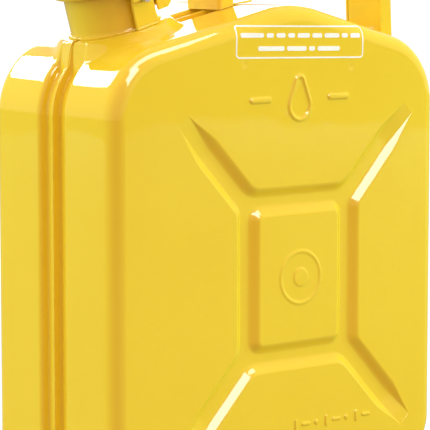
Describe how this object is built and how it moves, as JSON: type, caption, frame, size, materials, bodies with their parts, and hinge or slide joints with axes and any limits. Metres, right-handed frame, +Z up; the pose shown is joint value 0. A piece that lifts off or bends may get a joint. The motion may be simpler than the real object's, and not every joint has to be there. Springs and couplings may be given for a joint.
{
  "type": "jerry_can",
  "caption": "Small pressed steel jerry can in glossy yellow paint, leaning lever-cap spout, hoop handle over the gabled top, X-shaped pressings on both faces.",
  "frame": {"origin": "On the ground under the middle of the box around the whole can, with the lid shut.", "axes": "+X from the spout end to the rear end, +Y from the near face to the far face, +Z up."},
  "size_m": [0.2396, 0.11, 0.3128],
  "materials": {
    "paint": "glossy yellow enamel",
    "rubber": "black fuel-proof rubber",
    "zinc": "satin zinc plate"
  },
  "bodies": {
    "can": {"near_shell": "paint", "far_shell": "paint", "filler_neck": "paint", "breather_tube": "zinc", "catch_bracket_near": "paint", "catch_bracket_far": "paint", "catch_pin_near": "zinc", "catch_pin_far": "zinc", "hinge_bracket": "paint", "hinge_pin": "zinc", "handle_channel": "paint", "handle_grip_strip": "paint", "handle_foot": "paint"},
    "lid": {"lid": "paint", "lid_gasket": "rubber", "gasket_retainer": "zinc", "retainer_rivet": "zinc", "lever_pivot_near": "zinc", "lever_pivot_far": "zinc"},
    "lever": {"closure_lever": "paint"},
    "lock": {"lock_pin": "zinc", "lock_ring": "zinc"}
  },
  "joints": [
    {"name": "lid_hinge", "type": "hinge", "parent": "can", "child": "lid", "pos_m": [-0.0473, 0, 0.2918], "axis": [0, 1, 0], "range_deg": [0, 100]},
    {"name": "lever_pivot", "type": "hinge", "parent": "lid", "child": "lever", "pos_m": [-0.07989, 0, 0.28212], "axis": [0, 1, 0], "range_deg": [0, 80]},
    {"name": "lock_slide", "type": "slide", "parent": "lever", "child": "lock", "axis": [0, -1, 0], "range_m": [-0.003, 0]}
  ]
}
